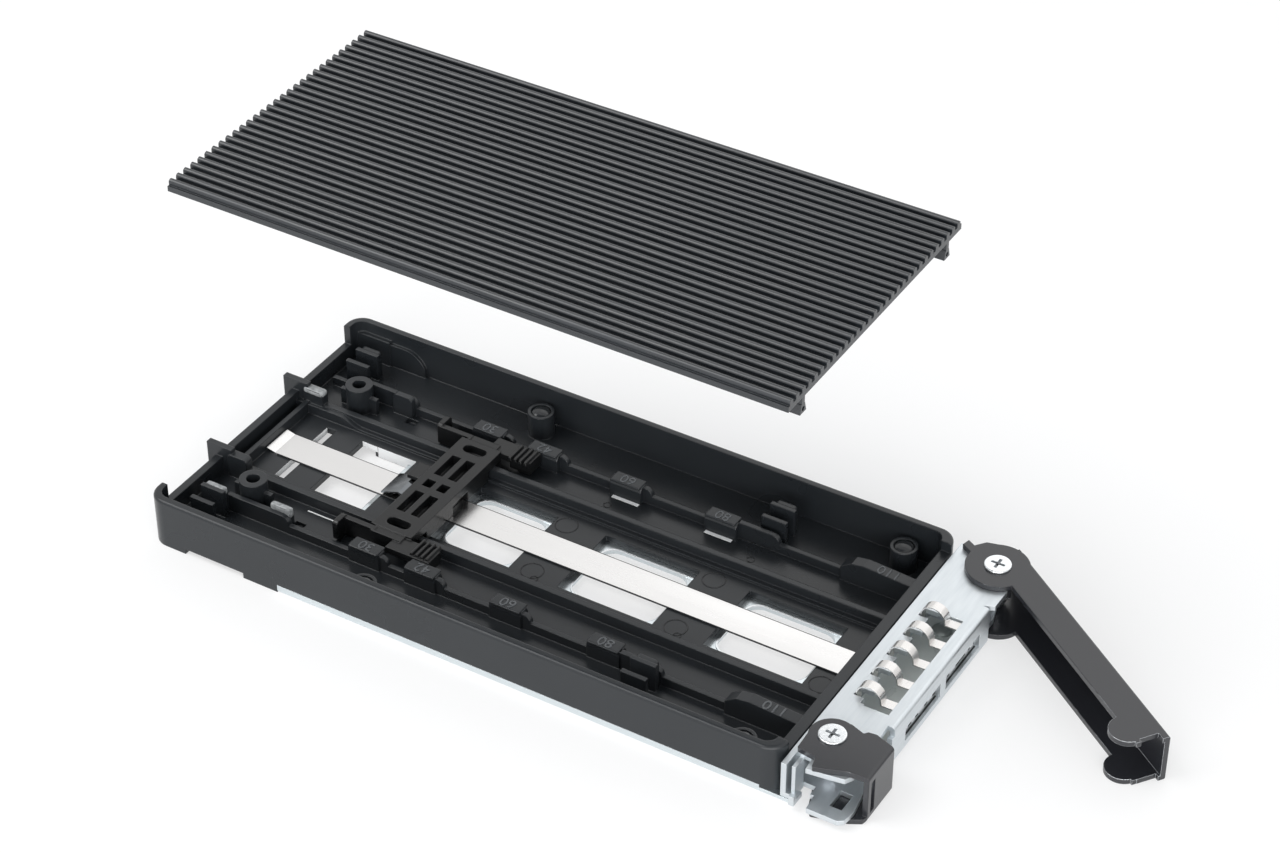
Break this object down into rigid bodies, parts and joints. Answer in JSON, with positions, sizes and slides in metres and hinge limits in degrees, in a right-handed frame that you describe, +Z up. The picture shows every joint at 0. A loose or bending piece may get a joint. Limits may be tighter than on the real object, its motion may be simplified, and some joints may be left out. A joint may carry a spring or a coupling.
{
  "type": "solid state drive mobile rack tray",
  "caption": "Flat drive tray with a lifted ribbed heat-sink cover, sliding drive stop, folded steel bezel, swinging eject lever and sprung latch.",
  "frame": {"origin": "underside of the steel base plate, at the middle of the moulded tray's length and width", "axes": "+X along the tray from its open rear end to the front bezel, +Y across it, +Z up"},
  "size_m": [0.1846, 0.0694, 0.0784],
  "materials": {
    "tray_plastic": "moulded, fine satin texture",
    "slider_plastic": "moulded, fine satin texture",
    "galvanised_sheet": "galvanised sheet",
    "plated_sheet": "zinc plated sheet, satin",
    "black_anodised": "black anodised extrusion",
    "heat_pad": "soft heat pad",
    "spring_steel": "bright spring steel",
    "strip_steel": "satin strip",
    "nickel_spring": "nickel plated springs",
    "black_steel": "black coated steel, satin",
    "turned_steel": "turned, plated",
    "zinc_screw": "white zinc"
  },
  "bodies": {
    "tray": {"tray_body": "tray_plastic", "base_plate": "galvanised_sheet", "bezel_shell": "plated_sheet", "support_strip": "strip_steel", "spring_fingers_top": "nickel_spring", "spring_fingers_bottom": "nickel_spring", "lever_pivot_post": "turned_steel", "latch_pivot_post": "turned_steel", "lever_screw": "zinc_screw", "latch_screw": "zinc_screw", "lever_spring": "spring_steel", "latch_spring": "spring_steel", "base_screws": "zinc_screw", "bezel_screws": "zinc_screw"},
    "cover": {"heatsink_cover": "black_anodised", "thermal_pad": "heat_pad"},
    "slider": {"length_slider": "slider_plastic", "drive_clip": "spring_steel"},
    "lever": {"eject_lever": "black_steel"},
    "latch": {"latch": "black_steel"}
  },
  "joints": [
    {"name": "cover_lift", "type": "slide", "parent": "tray", "child": "cover", "axis": [0, 0, 1], "range_m": [-0.0681, 0]},
    {"name": "slider_travel", "type": "slide", "parent": "tray", "child": "slider", "axis": [1, 0, 0], "range_m": [-0.012, 0.068]},
    {"name": "lever_swing", "type": "hinge", "parent": "tray", "child": "lever", "pos_m": [0.0741, 0.0293, 0], "axis": [0, 0, 1], "range_deg": [-54, 14], "stiffness_Nm_per_rad": 0.01},
    {"name": "latch_press", "type": "hinge", "parent": "tray", "child": "latch", "pos_m": [0.07, -0.0238, 0], "axis": [0, 0, 1], "range_deg": [-6, 0], "stiffness_Nm_per_rad": 0.03, "springref_deg": 2.86}
  ]
}
